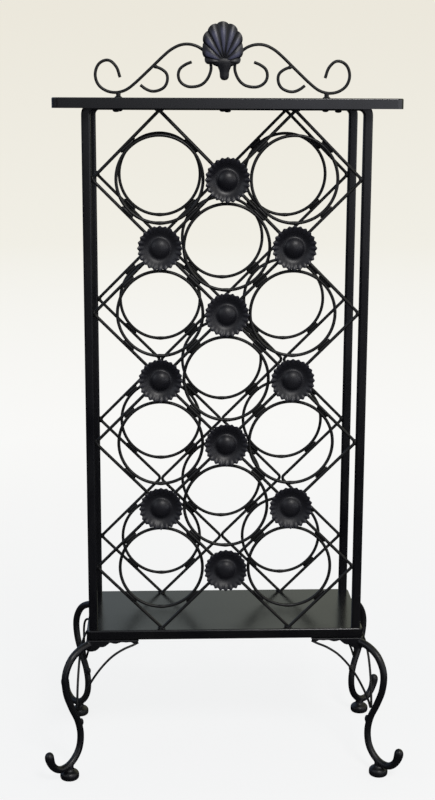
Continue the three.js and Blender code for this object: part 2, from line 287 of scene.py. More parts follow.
def ease_end(bm, ring, outwards, radius):
    """Closes a ring with a slightly domed cap."""
    centre = sum((v.co for v in corners_of(ring)), Vector()) / len(corners_of(ring))
    for share, rise in CAP_STEPS:
        shrink = Matrix.Translation(centre) @ Matrix.Scale(share, 4) @ Matrix.Translation(-centre)
        ring = carry(bm, ring, Matrix.Translation(outwards.normalized() * rise * radius) @ shrink)
    bmesh.ops.edgeloop_fill(bm, edges=ring)


def sweep(bm, ring, line, size=lambda t: 1.0):
    """Carries a ring along a line of points. size(t) is its scale at the share t of the way."""
    last = len(line) - 1
    along = (line[1] - line[0]).normalized()
    for i in range(1, last + 1):
        onward = (line[min(i + 1, last)] - line[i - 1]).normalized()
        turn = along.rotation_difference(onward).to_matrix().to_4x4()
        grow = Matrix.Scale(size(i / last) / size((i - 1) / last), 4)
        onto = Matrix.Translation(line[i]) @ turn @ grow @ Matrix.Translation(-line[i - 1])
        ring = carry(bm, ring, onto)
        along = onward
    return ring, along


def smooth_line(points, spacing):
    """Evenly spaced points on a smooth line through the given points."""
    ends = [points[0] * 2 - points[1], *points, points[-1] * 2 - points[-2]]
    dense = []
    for before, start, end, after in zip(ends, ends[1:], ends[2:], ends[3:]):
        reach = (end - start).length / 3
        leave = start + (end - before).normalized() * reach
        arrive = end - (after - start).normalized() * reach
        dense += interpolate_bezier(start, leave, arrive, end, CURVE_STEPS)[:-1]
    dense.append(points[-1])
    lengths = [0.0]
    for a, b in zip(dense, dense[1:]):
        lengths.append(lengths[-1] + (b - a).length)
    steps = round(lengths[-1] / spacing)
    line, k = [], 0
    for i in range(steps + 1):
        goal = lengths[-1] * i / steps
        while k < len(dense) - 2 and lengths[k + 1] < goal:
            k += 1
        share = (goal - lengths[k]) / (lengths[k + 1] - lengths[k])
        line.append(dense[k].lerp(dense[k + 1], share))
    return line


def free_wire(bm, points, radius, spacing, sides=WIRE_SIDES):
    """One round wire along a smooth line through the points."""
    line = smooth_line(points, spacing)
    ring = wire_section(bm, radius, line[0], (line[1] - line[0]).normalized(), sides)
    ring, along = sweep(bm, ring, line)
    ease_end(bm, ring, along, radius)
    return line


# %% [markdown]
# ## Zigzag rods
#
# Each lattice is four long wires that zigzag from the top rail down to the base shelf. On the real rack
# they are bent cold over a pin at every corner, so the corner is an arc and never a sharp point. An array
# of straight rods would leave broken corners, and so each rod here is one unbroken skin: push, bend, push.

# %% Bend the rods
ROWS = 8
BEND = 4 * mm                       # radius of the pin that the wire is bent round, to its middle
BEND_STEPS = 10
WIRE = 1.7 * mm                     # radius of the wire
REAR_Y = middle("rear_bottle_ring_1").y
CELL = middle("front_bottle_ring_1").z - middle("front_bottle_ring_3").z
LATTICE_TOP = middle("front_bottle_ring_1").z + CELL
TOP_TRIM = -0.3 * mm                # below the lattice's top, and so a rod begins just inside the rail
FOOT_TRIM = 0.3 * mm                # above its bottom corner
RODS = [(-CELL, -2 * CELL), (-CELL, 0.0), (CELL, 0.0), (CELL, 2 * CELL)]
print("cell", round(CELL / mm, 2), "lattice top", round(LATTICE_TOP / mm, 2))


def zigzag_rod(side, number, start_x, turn_x):
    node = f"{side}_zigzag_rod_{number}"
    y = middle(node).y
    lean = math.copysign(1, turn_x - start_x)
    bm = bmesh.new()
    down = Vector((lean, 0, -1)).normalized()
    at = Vector((start_x, y, LATTICE_TOP)) + Vector((lean, 0, -1)) * TOP_TRIM
    ring = wire_section(bm, WIRE, at, down)
    for row in range(1, ROWS):
        corner = Vector((turn_x if row % 2 else start_x, y, LATTICE_TOP - row * CELL))
        ring = push(bm, ring, corner - down * BEND - at)
        centre = corner - Vector((lean * BEND * math.sqrt(2), 0, 0))
        ring = bend(bm, ring, centre, Vector((0, 1, 0)), math.radians(90) * lean, BEND_STEPS)
        lean = -lean
        down = Vector((lean, 0, -1)).normalized()
        at = corner + down * BEND
    foot = Vector((start_x, y, LATTICE_TOP - ROWS * CELL)) - Vector((lean, 0, -1)) * FOOT_TRIM
    ring = push(bm, ring, foot - at)
    ease_end(bm, ring, down, WIRE)
    return make_piece(bm, f"bent_rod_{side}_{number}", "wire", [node])


for side in ("front", "rear"):
    for number, (start_x, turn_x) in enumerate(RODS, 1):
        rod = zigzag_rod(side, number, start_x, turn_x)
print("one rod has", counts[rod.name], "faces")

# %% [markdown]
# ## Bottle rings
#
# A ring is a length of wire rolled round and butt welded. A torus primitive would give the same shape. The
# spin operator is used because it says what is done to the wire: one section, turned the whole way round.
# The weld at its lowest point is a slight swelling, where the join was ground and coated over.

# %% Roll the rings
RING_STEPS = 120
SWELL = 0.22                        # how much thicker the wire is at the butt weld, as a share
SWELL_REACH = 3.2 * mm


def bottle_ring(side, number):
    node = f"{side}_bottle_ring_{number}"
    low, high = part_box(node)
    centre = (low + high) / 2
    radius = (high.z - low.z) / 2 - WIRE
    bm = bmesh.new()
    start = Matrix.Translation(centre + Vector((radius, 0, 0)))
    made = bmesh.ops.create_circle(bm, cap_ends=False, radius=WIRE, segments=WIRE_SIDES, matrix=start)
    bmesh.ops.spin(
        bm, geom=edges_of(made["verts"]) + made["verts"], cent=centre, axis=(0, 1, 0),
        angle=math.tau, steps=RING_STEPS, use_merge=True)
    weld = centre - Vector((0, 0, radius))
    for v in bm.verts:
        away = v.co - weld
        reach = math.exp(-(away.x / SWELL_REACH) ** 2) if away.z < radius else 0
        along = Vector((v.co.x - centre.x, 0, v.co.z - centre.z)).normalized() * radius + centre
        v.co += (v.co - along) * SWELL * reach
    return make_piece(bm, f"rolled_ring_{side}_{number}", "wire", [node])


for side in ("front", "rear"):
    for number in range(1, 12):
        ring_piece = bottle_ring(side, number)
print("22 rings,", counts[ring_piece.name], "faces each")

# %% [markdown]
# ## Square bar: the front and rear frames
#
# Each lattice hangs in a frame of its own: one square bar, bent into an upside-down U whose legs are the
# posts and whose bridge is the top rail. Drawn bar has eased edges, which catch a thin line of light. A
# square face is made first and its four corners are bevelled; the same push and bend then carry that
# section up, across and down again.

# %% Bend the frames
EASE = 2.0 * mm                     # rounding of the bar's edges
EASE_STEPS = 5
HOOP_RADIUS = 5 * mm                # inner bend of the two top corners
HOOP_STEPS = 12
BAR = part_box("front_frame")[1].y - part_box("front_frame")[0].y
POST_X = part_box("front_frame")[1].x - BAR / 2
FRAME_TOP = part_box("front_frame")[1].z
RAIL_BOTTOM = FRAME_TOP - BAR
SHELF_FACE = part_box("bottom_shelf")[1].z


def bar_section(bm, size, at):
    """A square face with rounded corners that faces down, and its ring of edges."""
    made = bmesh.ops.create_circle(
        bm, cap_ends=True, radius=size / math.sqrt(2), segments=4,
        matrix=Matrix.Translation(at) @ Matrix.Rotation(math.radians(45), 4, "Z"))
    bmesh.ops.bevel(
        bm, geom=made["verts"], offset=EASE, affect="VERTICES", segments=EASE_STEPS, profile=0.5,
        material=-1)
    return list(bm.edges)


def hoop(side):
    node = f"{side}_frame"
    y = middle(node).y
    turn = HOOP_RADIUS + BAR / 2
    shoulder = FRAME_TOP - BAR / 2 - turn
    quarter = math.radians(90)
    bm = bmesh.new()
    ring = bar_section(bm, BAR, Vector((-POST_X, y, SHELF_FACE)))
    ring = push(bm, ring, Vector((0, 0, shoulder - SHELF_FACE)))
    ring = bend(bm, ring, Vector((turn - POST_X, y, shoulder)), Vector((0, 1, 0)), quarter, HOOP_STEPS)
    ring = push(bm, ring, Vector((2 * (POST_X - turn), 0, 0)))
    ring = bend(bm, ring, Vector((POST_X - turn, y, shoulder)), Vector((0, 1, 0)), quarter, HOOP_STEPS)
    ring = push(bm, ring, Vector((0, 0, SHELF_FACE - shoulder)))
    bmesh.ops.edgeloop_fill(bm, edges=ring)
    return make_piece(bm, f"hoop_{side}", "frame", [node], flat=True)


for side in ("front", "rear"):
    frame_bar = hoop(side)
print("frame bar", round(BAR / mm, 1), "mm,", counts[frame_bar.name], "faces")

# %% [markdown]
# ## Shelves
#
# The top shelf is a pan of sheet steel turned upside down: its lip hides the frame's top. A box with its
# bottom taken off, then given a wall thickness, is exactly how folded sheet behaves. The upright corners are
# rounded first and the top edge second, because a bevel follows whatever outline it finds. The base shelf
# is a thin slab with slightly rounded edges. Both are the glossiest pieces, and mirror what is behind them.

# %% Fold the shelves
SHEET = 2.6 * mm
TOP_CORNER = 7 * mm
TOP_ROLL = 1.3 * mm
BASE_CORNER = 5 * mm
BASE_ROLL = 1.8 * mm
BASE_UNDER = 1.6 * mm
BASE_UNDER_STEPS = 3
ROLL_STEPS = 6
LEVEL = 0.01 * mm                   # edges this close to a height count as lying at it
STEEP = 0.9                         # an upright edge rises this share of its length


def bevel_edges(bm, wanted, offset, steps=ROLL_STEPS):
    found = [e for e in bm.edges if wanted(e.verts[0].co, e.verts[1].co)]
    bmesh.ops.bevel(
        bm, geom=found, offset=offset, affect="EDGES", segments=steps, profile=0.5, material=-1)


def scaled_cube(bm, low, high):
    made = bmesh.ops.create_cube(bm, size=1)
    bmesh.ops.scale(bm, vec=high - low, verts=made["verts"])
    bmesh.ops.translate(bm, vec=(low + high) / 2, verts=made["verts"])


def upright(a, b):
    return abs(a.z - b.z) > STEEP * max((a - b).length, 1 * mm)


def rim_at(z):
    return lambda a, b: abs(a.z - z) < LEVEL and abs(b.z - z) < LEVEL


def top_shelf():
    low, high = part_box("top_shelf")
    bm = bmesh.new()
    scaled_cube(bm, low, high)
    bevel_edges(bm, upright, TOP_CORNER)
    floor_face = [f for f in bm.faces if f.normal.z < -0.9]
    bmesh.ops.delete(bm, geom=floor_face, context="FACES_ONLY")
    bevel_edges(bm, rim_at(high.z), TOP_ROLL)
    bmesh.ops.recalc_face_normals(bm, faces=bm.faces)
    bmesh.ops.solidify(bm, geom=bm.faces[:], thickness=SHEET)
    return make_piece(bm, "shelf_pan_top", "shelf", ["top_shelf"], flat=True)


def base_shelf():
    low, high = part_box("bottom_shelf")
    bm = bmesh.new()
    scaled_cube(bm, low, high)
    bevel_edges(bm, upright, BASE_CORNER)
    bevel_edges(bm, rim_at(high.z), BASE_ROLL)
    bevel_edges(bm, rim_at(low.z), BASE_UNDER, BASE_UNDER_STEPS)
    return make_piece(bm, "shelf_base", "shelf", ["bottom_shelf"], flat=True)


for shelf in (top_shelf(), base_shelf()):
    print(shelf.name, counts[shelf.name], "faces,", [round(s / mm, 1) for s in shelf.dimensions])

# %% [markdown]
# ## Rosettes
#
# A rosette is pressed from thin sheet: a dished flower with a pleated border and a domed middle, on a short
# boss. It is a shape of turning, so half its profile is drawn as a chain of edges and spun. The border's
# pleats are then pulled out of the round skin, which keeps it closed, and the crests of the pleats are
# marked in an attribute, where the coat is given a painted blue-grey highlight.

# %% Press the rosettes
PLEATS = 24
PLEAT_STEPS = 6
PLEAT_START = 16.6 * mm             # the radius where the pleats begin
PLEAT_DEPTH = 0.7 * mm
PLEAT_SCALLOP = 0.8 * mm            # how far a pleat stands out of the round edge
# how strong the painted blue-grey highlight on the pleats' crests is
PLEAT_SHEEN = 0.12
ROSETTE_FRONT = [  # radius, and distance ahead of the back of the boss
    (22.8, 8.4), (22.0, 8.8), (20.6, 8.4), (19.0, 7.7), (17.7, 7.0), (16.4, 6.1), (15.0, 5.3), (13.6, 4.7),
    (12.2, 4.4), (11.2, 4.5), (10.4, 4.9), (9.8, 5.5), (9.1, 6.2), (8.2, 7.0), (7.0, 7.8), (5.4, 8.55),
    (3.7, 9.05), (1.9, 9.32), (0, 9.4)]
ROSETTE_BACK = [
    (0, 0), (6.2, 0), (6.6, 0.5), (6.8, 1.6), (9.0, 2.2), (12, 3.0), (15, 4.2), (17.4, 5.6), (19.6, 6.8),
    (21.6, 7.7), (22.7, 8.0)]


def rosette(number):
    node = f"rosette_{number}"
    low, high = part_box(node)
    centre = (low + high) / 2
    back = high.y
    bm = bmesh.new()
    sheen_mask = bm.verts.layers.float.new("sheen_mask")
    profile = [Vector((r * mm, -a * mm, 0)) for r, a in ROSETTE_FRONT + ROSETTE_BACK]
    corners = [bm.verts.new(p) for p in profile]
    for a, b in zip(corners, corners[1:] + corners[:1]):
        if a.co.x + b.co.x > 0:
            bm.edges.new((a, b))
    bmesh.ops.spin(
        bm, geom=bm.edges[:] + bm.verts[:], cent=(0, 0, 0), axis=(0, 1, 0),
        angle=math.tau, steps=PLEATS * PLEAT_STEPS, use_merge=True)
    bmesh.ops.remove_doubles(bm, verts=bm.verts, dist=MERGE)
    rim = ROSETTE_FRONT[0][0] * mm
    for v in bm.verts:
        radius = math.hypot(v.co.x, v.co.z)
        wave = math.cos(PLEATS * math.atan2(v.co.z, v.co.x))
        share = max(0.0, min(1.0, (radius - PLEAT_START) / (rim - PLEAT_START)))
        v.co.y -= PLEAT_DEPTH * wave * share
        if radius > 0:
            spread = 1 + PLEAT_SCALLOP * wave * share * share / radius
            v.co.x *= spread
            v.co.z *= spread
        # marks the crests of the pleats for the painted highlight
        v[sheen_mask] = PLEAT_SHEEN * max(0, wave * share)
    bmesh.ops.translate(bm, vec=Vector((centre.x, back, centre.z)), verts=bm.verts)
    return make_piece(bm, f"flower_{number}", "ornament", [node])


for number in range(1, 11):
    flower = rosette(number)
print("flower", [round(s / mm, 1) for s in flower.dimensions], "mm,", counts[flower.name], "faces")

# %% [markdown]
# ## Cast legs
#
# A leg is an iron casting: a round bar that bows out under the shelf's corner, comes in to an ankle, and
# ends in an upturned toe. A turned foot sits under its heel, a low bump rises on its calf, and two scalloped
# leaves run back under the shelf's edges. Each of those is simple by itself, but in a casting they flow into
# each other. Booleans would leave hard seams, so all of them are put in one mesh and a voxel Remesh draws
# one skin over them, which is then smoothed. One leg is made, and then turned to each corner.

# %% Shape one leg
LEG_LINE = [  # distance out from the post's middle along the diagonal, and height
    (3, 149), (20, 145.5), (33, 137), (41, 121), (40, 101), (33, 82), (24.5, 64), (21, 46), (24.5, 29),
    (36, 17), (50, 14.5), (60, 21), (65, 32), (64.7, 40)]
LEG_RADIUS = 4.25 * mm
LEG_SIDES = 20
LEG_SPACING = 1.2 * mm
LEG_TWIST = -math.pi / 90           # the legs stand a little clockwise of the diagonals
LEG_WAIST = 0.11                    # how much thinner the bar is half-way along, as a share
TOE_BULB = 0.22                     # how much thicker it is in the toe's bulb
TOE_BULB_AT = 0.965                 # shares of the way along the leg
TOE_BULB_REACH = 0.035
TOE_TIP_START = 0.975
BUMP_AT = Vector((19.4, 0, 61)) * mm
BUMP_SIZE = Vector((4.6, 2.8, 2.3)) * mm
SHELF_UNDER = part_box("bottom_shelf")[0].z
FOOT_AT = 37.5 * mm
FOOT_PROFILE = [  # radius and height
    (0, 0), (8.4, 0), (9.6, 0.5), (10.4, 2.0), (10.5, 4.6), (10.2, 6.8), (8.8, 8.6), (6.2, 9.8),
    (4.8, 11.4), (4.2, 16), (0, 16)]
LEAF_LINE = [  # distance along the leaf, and depth below the shelf
    (0, 13), (4, 13.2), (8, 12.4), (11, 10.4), (13, 8), (16, 8.2), (19, 7.2), (22, 4.8), (24, 2.8),
    (27, 3.8), (30.5, 4.4), (34, 3.4), (36, 2.6), (42, 2.8), (47.5, 2.6), (49, 3.8), (51.5, 4.6),
    (54, 3.9), (55, 2.4), (56, 0.2), (0, 0.2)]
LEAF_THICK = 4 * mm
LEAF_AT = 8.5 * mm
VOXEL = 0.55 * mm
SKIN_SMOOTH = 6
TURN_STEPS = 40                     # steps of a small turned shape
BEAD_DETAIL = 2


def leg_size(t):
    """The bar's thickness along the leg: finest half-way down, with a rounded bulb at the toe."""
    bulb = TOE_BULB * math.exp(-((t - TOE_BULB_AT) / TOE_BULB_REACH) ** 2)
    rounding = max(0.0, (t - TOE_TIP_START) / (1 - TOE_TIP_START))
    tip = math.sqrt(max(0.02, 1 - rounding ** 2))
    return (1 - LEG_WAIST * math.sin(math.pi * t) + bulb) * tip


def turned(bm, profile, at):
    """Spins a chain of (radius, height) points, in millimetres, round an upright axis."""
    corners = [bm.verts.new(at + Vector((r * mm, 0, z * mm))) for r, z in profile]
    chain = [bm.edges.new(pair) for pair in zip(corners, corners[1:])]
    bmesh.ops.spin(
        bm, geom=chain + corners, cent=at, axis=(0, 0, 1), angle=math.tau, steps=TURN_STEPS, use_merge=True)


def leaf(bm, turn):
    corners = []
    for along, drop in LEAF_LINE:
        corners.append(bm.verts.new((LEAF_AT + along * mm, -LEAF_THICK / 2, SHELF_UNDER - drop * mm)))
    face = bm.faces.new(corners)
    made = bmesh.ops.extrude_face_region(bm, geom=[face], use_keep_orig=True)["geom"]
    far = [g for g in made if isinstance(g, bmesh.types.BMVert)]
    bmesh.ops.translate(bm, vec=(0, LEAF_THICK, 0), verts=far)
    bmesh.ops.rotate(
        bm, cent=(LEAF_AT, 0, 0), matrix=Matrix.Rotation(turn, 3, "Z"), verts=corners + far)


def bead(bm, at, size, along=Vector((1, 0, 0))):
    """A small ball stretched to size, its first axis laid along a direction."""
    turn = Vector((1, 0, 0)).rotation_difference(along).to_matrix().to_4x4()
    shape = Matrix.Translation(at) @ turn @ Matrix.Diagonal((*size, 1))
    return bmesh.ops.create_icosphere(bm, subdivisions=BEAD_DETAIL, radius=1, matrix=shape)["verts"]


def leg_parts():
    bm = bmesh.new()
    line = smooth_line([Vector((x * mm, 0, z * mm)) for x, z in LEG_LINE], LEG_SPACING)
    ring = wire_section(bm, LEG_RADIUS, line[0], (line[1] - line[0]).normalized(), LEG_SIDES)
    ring, along = sweep(bm, ring, line, leg_size)
    bmesh.ops.edgeloop_fill(bm, edges=ring)
    turned(bm, FOOT_PROFILE, Vector((FOOT_AT, 0, 0)))
    bead(bm, BUMP_AT, BUMP_SIZE, Vector((0, 0, 1)))
    bmesh.ops.rotate(bm, cent=(0, 0, 0), matrix=Matrix.Rotation(LEG_TWIST, 3, "Z"), verts=bm.verts)
    leaf(bm, math.radians(135))
    leaf(bm, math.radians(-135))
    return bm


# %% Draw one skin over the leg


def cast_skin(bm, voxel, smoothing):
    """Remeshes overlapping closed shapes into one smooth skin, and returns its mesh."""
    bmesh.ops.remove_doubles(bm, verts=bm.verts, dist=MERGE)
    bmesh.ops.recalc_face_normals(bm, faces=bm.faces)
    rough = bpy.data.meshes.new("rough casting")
    bm.to_mesh(rough)
    bm.free()
    pattern = bpy.data.objects.new("pattern", rough)
    bpy.context.scene.collection.objects.link(pattern)
    remesh = pattern.modifiers.new("skin", "REMESH")
    remesh.mode = "VOXEL"
    remesh.voxel_size = voxel
    smooth = pattern.modifiers.new("smooth", "SMOOTH")
    smooth.factor = 0.5
    smooth.iterations = smoothing
    ready = pattern.evaluated_get(bpy.context.evaluated_depsgraph_get())
    skin = bpy.data.meshes.new_from_object(ready)
    bpy.data.objects.remove(pattern)
    return skin


leg_skin = cast_skin(leg_parts(), VOXEL, SKIN_SMOOTH)
print("leg skin", len(leg_skin.polygons), "faces")

# %% Stand the legs at the corners
CORNERS = {
    "front_left": (-1, -1), "front_right": (1, -1), "rear_left": (-1, 1), "rear_right": (1, 1)}


def corner_matrix(corner):
    """Takes a shape drawn along +X, on the floor at the origin, out along the diagonal of a corner."""
    x, y = CORNERS[corner]
    return Matrix.Translation((x * POST_X, y * REAR_Y, 0)) @ Matrix.Rotation(math.atan2(y, x), 4, "Z")


def stand_leg(corner):
    bm = bmesh.new()
    bm.from_mesh(leg_skin)
    bmesh.ops.transform(bm, matrix=corner_matrix(corner), verts=bm.verts)
    for v in bm.verts:
        v.co.z = min(max(v.co.z, 0), SHELF_UNDER)
    return make_piece(bm, f"cast_leg_{corner}", "cast", [f"leg_{corner}"])


for corner in CORNERS:
    leg = stand_leg(corner)
print("leg", [round(s / mm, 1) for s in leg.dimensions], "mm,", counts[leg.name], "faces")

# %% [markdown]
# ## Leg braces
#
# Two thin wires tie each leg to the leaves above it. They are free curves in space, so each is a round
# wire carried along a smooth line. The second mirrors the first across the corner's diagonal, and both
# follow the leg's slight twist more and more on their way down.

# %% Bend the braces
BRACE = 1.3 * mm                    # radius of the wire
BRACE_SIDES = 10
BRACE_SPACING = 2 * mm
BRACE_LINE = [  # along the shelf's edge from the post's middle, out from it, and height
    (-49, 5.6, 150.4), (-44, 7.5, 148.4), (-33, 11.5, 145), (-21, 14.5, 138), (-10, 16.5, 127.2),
    (0, 17.5, 113.5), (8, 18, 99), (14, 18, 85.5), (17, 18, 76)]


def brace(corner):
    bm = bmesh.new()
    for side in (1, -1):
        points = []
        for along, out, z in BRACE_LINE:
            down = (BRACE_LINE[0][2] - z) / (BRACE_LINE[0][2] - BRACE_LINE[-1][2])
            point = Vector((along + out, (along - out) * side, z * math.sqrt(2))) / math.sqrt(2) * mm
            points.append(Matrix.Rotation(LEG_TWIST * down, 3, "Z") @ point)
        free_wire(bm, points, BRACE, BRACE_SPACING, BRACE_SIDES)
    bmesh.ops.transform(bm, matrix=corner_matrix(corner), verts=bm.verts)
    return make_piece(bm, f"brace_wires_{corner}", "wire", [f"brace_{corner}"])


for corner in CORNERS:
    braces = brace(corner)
print("brace", counts[braces.name], "faces")

# %% [markdown]
# ## Crest scrolls
#
# The crest is four scrolls of the same wire as the lattice. A smith bends them over a scroll jig, so their
# curls tighten evenly. They are drawn as a few points each and swept, and the left-hand ones mirror the
# right. Each long scroll stands on a short stud that is welded to the shelf.

# %% Bend the scrolls
CREST_Y = middle("crest_scroll_right").y
SCROLL_LINE = [  # distance from the middle, and height
    (113, 760), (117, 771), (125.5, 778), (135.5, 774.5), (140, 764), (137.5, 753), (129.5, 746),
    (118.5, 743.5), (107.5, 746), (98, 752.5), (81, 768), (64.5, 783.5), (55.5, 790.5), (45, 795),
    (34, 795), (23.5, 790.5), (16, 782), (13, 771.5), (14.5, 763.5), (18.5, 756.5), (24, 752),
    (31.5, 750), (39.5, 750.5), (46, 754.5), (49, 761), (47.5, 768.5), (41.5, 773.5), (34.5, 776.5)]
SMALL_SCROLL_LINE = [
    (74, 771.4), (67.5, 768.8), (62, 764), (61, 757), (64, 750), (70.5, 746), (78, 745), (85, 747.5),
    (90.5, 751.5)]
SCROLL_SPACING = 1.6 * mm
CURL_WELD = Vector((3.4, 2.2, 2.2)) * mm
STUD_X = 115 * mm
STUD = 2.6 * mm                     # radius of the stud
STUD_HIGH = 5.6 * mm
STUD_WELD = Vector((1.9, 4.4, 4.4)) * mm
STUD_WELD_UP = 0.6 * mm
SHELF_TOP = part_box("top_shelf")[1].z


def crest_points(line, side):
    return [Vector((x * side * mm, CREST_Y, z * mm)) for x, z in line]


def crest_scroll(name, side):
    bm = bmesh.new()
    free_wire(bm, crest_points(SCROLL_LINE, side), WIRE, SCROLL_SPACING)
    foot = Vector((STUD_X * side, CREST_Y, SHELF_TOP))
    bead(bm, foot + Vector((0, 0, STUD_WELD_UP)), STUD_WELD, Vector((0, 0, 1)))
    ring = wire_section(bm, STUD, foot, Vector((0, 0, 1)))
    ring = push(bm, ring, Vector((0, 0, STUD_HIGH)))
    ease_end(bm, ring, Vector((0, 0, 1)), STUD)
    return make_piece(bm, f"scroll_{name}", "wire", [f"crest_scroll_{name}"])


def small_scroll(name, side):
    bm = bmesh.new()
    line = free_wire(bm, crest_points(SMALL_SCROLL_LINE, side), WIRE, SCROLL_SPACING)
    bead(bm, line[0], CURL_WELD, (line[1] - line[0]).normalized())
    return make_piece(bm, f"curl_{name}", "wire", [f"crest_small_scroll_{name}"])


for name, side in (("left", -1), ("right", 1)):
    scroll = crest_scroll(name, side)
    curl = small_scroll(name, side)
print("scroll", counts[scroll.name], "faces, curl", counts[curl.name])

# %% [markdown]
# ## Shell
#
# A cast scallop covers the place where the scrolls meet. Its ribs fan out from a hinge near its foot, each
# ends in a lobe of the rim, and the whole is domed. A fan is a grid in disguise: one side of a flat grid
# becomes the hinge and the opposite side the rim. Every corner of the grid is moved to its place on the fan
# and raised by the dome and its rib. The back is then pulled off the rim by an extrude. A flattened ball
# fills the hinge as a collar, and a short turned stem, flattened too, hangs below it.

# %% Cast the shell
LOBES = 9
LOBE_STEPS = 10
SPOKE_STEPS = 24
SHELL_MIDDLE = Vector((-0.5, 795.4)) * mm
SHELL_HALF = Vector((21.0, 22.6)) * mm
SHELL_FAN = math.radians(310)
HINGE = Vector((1.0, 777.0)) * mm
HINGE_GAP = 0.1                     # the share of each rib that the hinge hides
SHELL_LOW, SHELL_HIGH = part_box("crest_shell")
LOBE = SHELL_HIGH.z - SHELL_MIDDLE.y - SHELL_HALF.y     # how far a lobe stands out of the outline
RIM_THICK = 2.4 * mm
RIB_HEIGHT = 1.7 * mm
RIB_AT_HINGE = 0.25                 # a rib's height beside the hinge, as a share of its full height
RIB_FULLNESS = 0.8                  # the smaller these powers are, the fuller the curves
LOBE_FULLNESS = 0.7
SIDE_FULLNESS = 0.35
LOW_RIM_FULLNESS = Vector((0.5, 0.7))
DOME = SHELL_HIGH.y - SHELL_LOW.y - RIM_THICK - RIB_HEIGHT
DOME_START = 0.12                   # where along its half-wave the dome begins at the hinge
DOME_SKEW = 1.15                    # moves its highest point towards the rim
SHEEN_CREST = (0.55, 0.95)           # the painted highlight spreads from the first to the second share of a rib's height,
SHEEN_AWAY = (0.16, 0.4)             # from the hinge outwards,
SHEEN_RIM = (0.74, 0.93)             # until the rim,
SHEEN_SIDE = (0.09, 0.14)            # and not on the two outermost ribs
COLLAR = Vector((14.2, 2.7, 5.6)) * mm
COLLAR_BACK = 1.2 * mm
COLLAR_DROP = 0.6 * mm
COLLAR_DETAIL = 4
STEM_X = 1.4 * mm
STEM_FLAT = 0.49                    # the stem's depth as a share of its width
STEM_PROFILE = [
    (0, 0), (2.2, 0.35), (3.7, 1.3), (4.8, 3.0), (5.1, 5.4), (5.2, 8), (5.8, 11), (7.4, 14.5), (8, 18),
    (0, 18)]


def shell_rim(u):
    """The rim at the share u of the fan: an ellipse that is fuller below, with a lobe for each rib."""
    angle = (math.pi - SHELL_FAN) / 2 + SHELL_FAN * u
    across, up = math.cos(angle), math.sin(angle)
    if up < 0:
        across = math.copysign(abs(across) ** LOW_RIM_FULLNESS.x, across)
        up = math.copysign(abs(up) ** LOW_RIM_FULLNESS.y, up)
    lobe = LOBE * abs(math.sin(math.pi * LOBES * u)) ** LOBE_FULLNESS
    return SHELL_MIDDLE + Vector(((SHELL_HALF.x + lobe) * across, (SHELL_HALF.y + lobe) * up))


def ramp(value, start, end):
    """A smooth step from 0 at start to 1 at end."""
    t = max(0.0, min(1.0, (value - start) / (end - start)))
    return t * t * (3 - 2 * t)


def shell():
    bm = bmesh.new()
    sheen_mask = bm.verts.layers.float.new("sheen_mask")
    bmesh.ops.create_grid(bm, x_segments=LOBES * LOBE_STEPS, y_segments=SPOKE_STEPS, size=0.5)
    shares = {v: (v.co.x + 0.5, v.co.y + 0.5) for v in bm.verts}
    for v, (u, s) in shares.items():
        spoke = HINGE_GAP + (1 - HINGE_GAP) * s
        place = HINGE.lerp(shell_rim(u), spoke)
        rib = abs(math.sin(math.pi * LOBES * u)) ** RIB_FULLNESS
        swell = math.sin(math.pi * (DOME_START + (1 - DOME_START) * spoke) ** DOME_SKEW)
        side = math.sin(math.pi * u) ** SIDE_FULLNESS
        ridge = RIB_HEIGHT * rib * (RIB_AT_HINGE + (1 - RIB_AT_HINGE) * spoke)
        height = RIM_THICK + DOME * swell * side + ridge
        v.co = Vector((place.x, SHELL_HIGH.y - height, place.y))
        # the rib crests get a painted highlight, away from the hinge, the rim and the outer ribs
        painted_sheen = ramp(rib, *SHEEN_CREST) * ramp(spoke, *SHEEN_AWAY) * (1 - ramp(spoke, *SHEEN_RIM))
        v[sheen_mask] = painted_sheen * ramp(min(u, 1 - u), *SHEEN_SIDE)
    outline = [e for e in bm.edges if e.is_boundary]
    ring = push(bm, outline, Vector((0, RIM_THICK, 0)))
    for v in corners_of(ring):
        v.co.y = SHELL_HIGH.y
    bmesh.ops.edgeloop_fill(bm, edges=ring)
    return bm


def add_stem(bm):
    """A short stem with a round end, and the smooth collar that the ribs grow from."""
    deep = (SHELL_LOW.y + SHELL_HIGH.y) / 2
    at = Vector((STEM_X, deep, SHELL_LOW.z))
    before = set(bm.verts)
    turned(bm, STEM_PROFILE, at)
    stem = [v for v in bm.verts if v not in before]
    flatten = Matrix.Translation(at) @ Matrix.Diagonal((1, STEM_FLAT, 1, 1)) @ Matrix.Translation(-at)
    bmesh.ops.transform(bm, matrix=flatten, verts=stem)
    place = Matrix.Translation((HINGE.x, deep + COLLAR_BACK, HINGE.y - COLLAR_DROP))
    collar = place @ Matrix.Diagonal((*COLLAR, 1))
    bmesh.ops.create_icosphere(bm, subdivisions=COLLAR_DETAIL, radius=1, matrix=collar)


shell_bm = shell()
add_stem(shell_bm)
shell_piece = make_piece(shell_bm, "scallop_shell", "ornament", ["crest_shell"])
print("shell", [round(s / mm, 1) for s in shell_piece.dimensions], counts[shell_piece.name], "faces")

# %% [markdown]
# ## Weld beads and screw heads
#
# Wherever wires lie against each other the real rack has a short bead of weld, smoothed by the coat. They
# are small, and there are many, so each is a ball of a few dozen faces, stretched along the joint. A seeded
# random number makes each one a little different. Each top rail also shows three round screw heads.

# %% Lay the weld beads
chance = random.Random(11)
WELD_VARIES = 0.18                          # share of a bead's length
RING_WELD = Vector((8.6, 1.6, 1.9)) * mm    # where a ring lies against a rod
POST_WELD = Vector((3.6, 1.8, 1.5)) * mm    # where a rod's corner meets a post
POST_WELD_IN = 0.8 * mm
END_WELD = Vector((3.4, 1.9, 1.1)) * mm     # where a rod ends on the rail or the shelf
END_WELD_IN = 1.2 * mm


def weld(bm, at, size, along):
    vary = 1 + WELD_VARIES * (chance.random() - 0.5)
    bead(bm, at, Vector((size.x * vary, size.y, size.z)), along)


